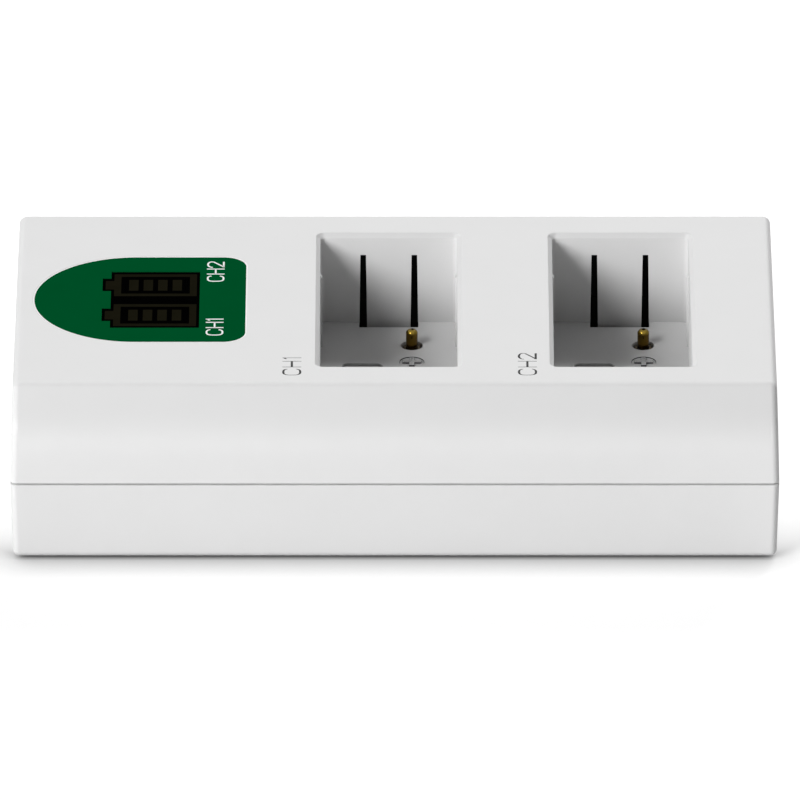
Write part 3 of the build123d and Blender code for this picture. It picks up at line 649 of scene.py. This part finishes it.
def letterStrokes(letter, look):
    # lines of a letter in a unit square: along the words, then up the height
    if letter == "C":
        # most of a rounded square, cos and sin both to the power of the squareness
        turn = np.radians(np.linspace(*look["openTurn"], look["openSteps"]))
        return [0.5 + 0.5 * np.stack([np.sign(part) * np.abs(part) ** look["squareness"]
                                      for part in (np.cos(turn), np.sin(turn))], 1)]
    if letter == "2":
        # half an ellipse on top, a long slope to the foot, and the base by itself
        turn = np.radians(np.linspace(*look["bowlTurn"], look["bowlSteps"]))
        high = look["bowlHigh"]
        bowl = np.stack([0.5 + 0.5 * np.cos(turn), 1 - high + high * np.sin(turn)], 1)
        return [np.concatenate([bowl, look["slope"]]), np.array([(0.0, 0.0), (1.0, 0.0)])]
    # upright lines end half a pen further out
    foot, head = -look["penEnd"], 1 + look["penEnd"]
    bar, flag = look["barHigh"], look["flagHigh"]
    straight = {"H": [((0, foot), (0, head)), ((1, foot), (1, head)), ((0, bar), (1, bar))],
                "1": [((1, foot), (1, head)), ((1, 1), (0, flag))]}
    return [np.array(line, dtype=float) for line in straight[letter]]


def penStroke(line, pen, lift):
    # flat ribbon along a line: half a pen width to both sides, above and below the surface
    run = np.gradient(line, axis=0)
    run = run / np.linalg.norm(run, axis=1)[:, None]
    side = np.stack([-run[:, 1] * pen[1], run[:, 0] * pen[0]], 1) / 2
    return np.stack([np.column_stack([line + side * way, np.full(len(line), up)])
                     for way, up in ((1, lift), (-1, lift), (-1, -lift), (1, -lift))], 1)


def channelMark(name, look, middleX, startY, letters, surfaceZ):
    points, faces, count = [], [], 0
    pen, cap = look["pen"], look["cap"]
    for letter, first, last in letters:
        for stroke in letterStrokes(letter, letterLook):
            size = np.array([last - first - pen[1], cap - pen[0]])
            ribbon = penStroke(stroke * size + (first + pen[1] / 2, pen[0] / 2), pen, look["lift"])
            quads = gridFaces(*ribbon.shape[:2], False, True)
            points.append(ribbon.reshape(-1, 3))
            faces.append(np.concatenate([quads, endFaces(len(ribbon))]) + count)
            count += len(points[-1])
    along, up, z = np.concatenate(points).T
    placed = np.stack([middleX + cap / 2 - up, startY + along, surfaceZ + z], 1)
    addPiece(name, placed, np.concatenate(faces), finishes[look["finish"]])


for name, kind, middleX, startY, letters in marks:
    surface = nodeBox("display_window" if kind == "window" else "top_cover")[1][2]
    channelMark(name, markLooks[kind], middleX, startY, letters, surface)
print("channel marks printed")


# Plus signs on the well floors, in front of the plus contacts: a raised plus whose sides are near-black painted
# shade, and behind it a near-black arc, painted shade for the shaded wall of a ring round it
plusLook = {
    "inFront": 6.15,  # from the pin to the middle of the sign
    "sink": 0.02,  # how far the relief goes into the floor
    "radius": 1.85,
    "line": 0.11,
    "rise": 0.09,
    "steps": 64,
    "arc": (-12, 192),  # degrees, from the right round the rear to the left
    "taper": 0.4,
    "thinnest": 0.1,  # share of the line that is left at the ends of the arc
    "reach": 1.44,
    "half": 0.41,
    "plusRise": 0.2,
    "sideInsets": (0, 0.06),  # of the sides in near-black painted shade, from the outline of the plus
    "faceInsets": (0.05, 0.2),  # of the white rim inside them
    "faceRise": 0.01,
}


def plusShadeArc(name, middle, look):
    # painted shade: arc of a circle with a flat-topped profile, whose width is line * (sin + taper), held
    # between the thinnest and the full line
    angle = np.radians(np.linspace(*look["arc"], look["steps"]))
    half = look["line"] / 2 * np.clip(np.sin(angle) + look["taper"], look["thinnest"], 1)
    profile = [(half, -look["sink"]), (half, look["rise"]), (-half, look["rise"]), (-half, -look["sink"])]
    points = np.stack([
        np.column_stack([(look["radius"] + out) * np.cos(angle), (look["radius"] + out) * np.sin(angle),
                         np.full_like(angle, up)]) for out, up in profile], 1)
    faces = np.concatenate([gridFaces(*points.shape[:2], False, True), endFaces(look["steps"])])
    addPiece(name, points + middle, faces, finishes["dark_ink_and_painted_shade"])


def plusRim(name, middle, look, insets, rise, finish):
    # outline of a plus, three corners turned four times, carried through a rim's profile of inset and height
    arm, reach = look["half"], look["reach"]
    quarter = np.array([(reach, arm), (arm, arm), (arm, reach)])
    turns = [np.array([[math.cos(a), math.sin(a)], [-math.sin(a), math.cos(a)]])
             for a in np.arange(4) * math.pi / 2]
    outer, inner = insets
    profile = [(outer, -look["sink"]), (outer, rise), (inner, rise), (inner, -look["sink"])]
    points = np.stack([
        np.concatenate([np.column_stack([(quarter - inset) @ turn, np.full(3, up)]) for turn in turns])
        for inset, up in profile], 1)
    addPiece(name, points + middle, gridFaces(*points.shape[:2], True, True), finish)


floorZ = nodeBox("top_cover")[1][2] - caseLook["wellDepthMm"]
for channel in (1, 2):
    pin = nodeMiddle(f"contact_plunger_{channel}_plus")
    middle = np.array([pin[0], pin[1] - plusLook["inFront"], floorZ])
    rise = plusLook["plusRise"]
    plusShadeArc(f"plus_shade_arc_{channel}", middle, plusLook)
    # painted shade: the sides of the raised plus in near-black
    plusRim(f"plus_shaded_sides_{channel}", middle, plusLook, plusLook["sideInsets"], rise, finishes["dark_ink_and_painted_shade"])
    plusRim(f"plus_face_{channel}", middle, plusLook, plusLook["faceInsets"], rise + plusLook["faceRise"],
            slotFinish["white_abs"])
print("plus signs set")


# Contact springs: round wire, closer at both ends
springLook = {"turns": 6.0, "steps": 144, "sides": 8, "wire": 0.3, "ease": 0.5, "travel": 2.0, "crisp": 60}


def contactSpring(channel, pole, look):
    # coil: a circle of wire carried along a helix whose rise eases at both ends,
    # height = s - ease * sin(2 pi s) / 2 pi
    node = f"contact_spring_{channel}_{pole}"
    low, high = nodeBox(node)
    middle = (low + high) / 2
    s = np.linspace(0, 1, look["steps"])
    turn = 2 * math.pi * look["turns"] * s
    rise = s - look["ease"] * np.sin(2 * math.pi * s) / (2 * math.pi)
    radius = (high[0] - low[0] - look["wire"]) / 2
    outward = np.stack([np.cos(turn), np.sin(turn), 0 * turn], 1)
    up = np.array([0, 0, 1.0])
    path = middle * (1, 1, 0) + outward * radius
    path = path + up * (low[2] + look["wire"] / 2 + (high[2] - low[2] - look["wire"]) * rise)[:, None]
    around = np.linspace(0, 2 * math.pi, look["sides"], endpoint=False)
    wire = look["wire"] / 2 * (np.cos(around)[None, :, None] * outward[:, None, :]
                               + np.sin(around)[None, :, None] * up)
    points = path[:, None, :] + wire
    quads = gridFaces(look["steps"], look["sides"], False, True).tolist()
    first = list(range(look["sides"]))
    last = [(look["steps"] - 1) * look["sides"] + k for k in first]
    spring = addPiece(f"coil_spring_{channel}_{pole}", points, quads + [first, last],
                      finishes["drawn_steel_wire"], look["crisp"])
    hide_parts(node)
    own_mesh(spring)


for channel in (1, 2):
    for pole in ("plus", "minus"):
        contactSpring(channel, pole, springLook)
print("contact springs wound")


# Seal round the display window
beadLook = {
    "corner": 3.5,
    "steps": 48,
    "crisp": 50,
    # from the window's edge outwards, and up from the top of the case
    "profile": [(0.148, -0.35), (0.148, -0.02), (0.05, -0.004), (-0.08, -0.03), (-0.08, -0.07)],
}


def windowBead(look):
    # path: half round at the left end, then the two rounded corners at the right end; the profile goes along it
    low, high = nodeBox("display_window")
    half = (high[1] - low[1]) / 2
    middle = (low[1] + high[1]) / 2
    corner = look["corner"]
    arcs = [((low[0] + half, middle), half, 90, 270),
            ((high[0] - corner, low[1] + corner), corner, 270, 360),
            ((high[0] - corner, high[1] - corner), corner, 0, 90)]
    angles = [np.radians(np.linspace(start, end, look["steps"])) for _, _, start, end in arcs]
    outward = np.concatenate([np.stack([np.cos(a), np.sin(a)], 1) for a in angles])
    path = np.concatenate([np.array(centre) + radius * np.stack([np.cos(a), np.sin(a)], 1)
                           for (centre, radius, _, _), a in zip(arcs, angles)])
    topZ = nodeBox("top_cover")[1][2]
    points = np.stack([np.column_stack([path + outward * out, np.full(len(path), topZ + up)])
                       for out, up in look["profile"]], 1)
    addPiece("window_seal", points, gridFaces(*points.shape[:2], True, True), finishes["cured_silicone"],
             look["crisp"])


windowBead(beadLook)
print("window sealed")


# Screws with a cross recess in the head and a rolled thread, on one diagonal of their box or on both
screwLooks = {
    "case_screws": {"head": 2.0, "headHigh": 1.4, "edge": 0.3, "shank": 1.0, "pitch": 0.8, "thread": 0.22,
                    "recess": 0.75, "slot": 0.22, "reach": 1.2, "both": True},
    "display_screws": {"head": 1.5, "headHigh": 1.0, "edge": 0.3, "shank": 0.75, "pitch": 0.6, "thread": 0.16,
                       "recess": 0.5, "slot": 0.17, "reach": 0.85, "both": False},
}
screwSteps = {"around": 64, "face": 26, "thread": 64, "slotWall": 0.06, "slotEnd": 0.2, "tip": 0.1, "crisp": 40}


def screwPoints(look, steps, height):
    # rows from the middle of the head outwards, over its edge to the shank and up the thread to the tip;
    # recess: full depth where the nearer axis is closer than half a slot;
    # thread: radius = shank - depth * (1 - cos) / 2
    around = np.linspace(0, 2 * math.pi, steps["around"], endpoint=False)
    face = np.linspace(0, look["head"] - look["edge"], steps["face"])
    r = face[:, None] + 0 * around
    across = np.minimum(np.abs(r * np.cos(around)), np.abs(r * np.sin(around)))
    inSlot = np.clip((look["slot"] - across) / steps["slotWall"] + 0.5, 0, 1)
    inSlot = inSlot * np.clip((look["reach"] - r) / steps["slotEnd"], 0, 1)
    rows = [(r, look["recess"] * inSlot)]
    for radius, z in ((look["head"], look["edge"]), (look["head"], look["headHigh"]),
                      (look["shank"], look["headHigh"])):
        rows.append((np.full((1, len(around)), radius), np.full((1, len(around)), z)))
    z = np.linspace(look["headHigh"], height, steps["thread"])[:, None] + 0 * around
    fade = np.clip((z - look["headHigh"]) / look["pitch"], 0, 1) * np.clip((height - z) / steps["tip"], 0, 1)
    wave = (1 - np.cos(2 * math.pi * z / look["pitch"] - around)) / 2
    rows.append((look["shank"] - look["thread"] * wave * fade, z))
    rows.append((np.zeros((1, len(around))), np.full((1, len(around)), height)))
    radius, z = [np.concatenate(part) for part in zip(*rows)]
    return np.stack([radius * np.cos(around), radius * np.sin(around), z], -1)


def screwSet(node, look, steps):
    # all screws of one kind in one mesh, each with its head down
    low, high = nodeBox(node)
    left, front = low[:2] + look["head"]
    right, back = high[:2] - look["head"]
    feet = [(left, back), (right, front)] + ([(left, front), (right, back)] if look["both"] else [])
    points = screwPoints(look, steps, high[2] - low[2])
    faces = gridFaces(*points.shape[:2], False, True)
    count = points.shape[0] * points.shape[1]
    every = np.concatenate([points.reshape(-1, 3) + (x, y, low[2]) for x, y in feet])
    quads = np.concatenate([faces + k * count for k in range(len(feet))])
    screws = addPiece("threaded_" + node, every, quads, finishes["zinc_plated_steel"],
                      steps["crisp"])
    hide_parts(node)


for node, look in screwLooks.items():
    screwSet(node, look, screwSteps)
print("screws threaded")


# Gold strips on both faces of the inlet's tongue
stripLook = {"count": 12, "pitch": 0.5, "width": 0.26, "core": 2.3, "end": 0.35, "thickness": 0.7,
             "rise": 0.015}


def inletStrips(look):
    # a box for each strip, all of one length, side by side along X and on both faces of the blade
    low, high = nodeBox("power_inlet_tongue")
    middle = (low + high) / 2
    x = middle[0] + (np.arange(look["count"]) - (look["count"] - 1) / 2) * look["pitch"]
    y = np.array([low[1] + look["core"], high[1] - look["end"]])
    z = middle[2] + np.array([-1, 1]) * look["thickness"] / 2
    centre = np.stack(np.meshgrid(x, [y.mean()], z, indexing="ij"), -1).reshape(-1, 3)
    corner = np.stack(np.meshgrid([-1, 1], [-1, 1], [-1, 1], indexing="ij"), -1).reshape(-1, 3)
    half = np.array([look["width"] / 2, (y[1] - y[0]) / 2, look["rise"]])
    points = centre[:, None, :] + corner[None] * half
    sides = np.array([(0, 1, 3, 2), (4, 6, 7, 5), (0, 4, 5, 1), (2, 3, 7, 6), (0, 2, 6, 4), (1, 5, 7, 3)])
    faces = (np.arange(len(centre))[:, None, None] * 8 + sides).reshape(-1, 4)
    addPiece("inlet_strips", points, faces, finishes["gold_flash"])


inletStrips(stripLook)
print("inlet strips laid")
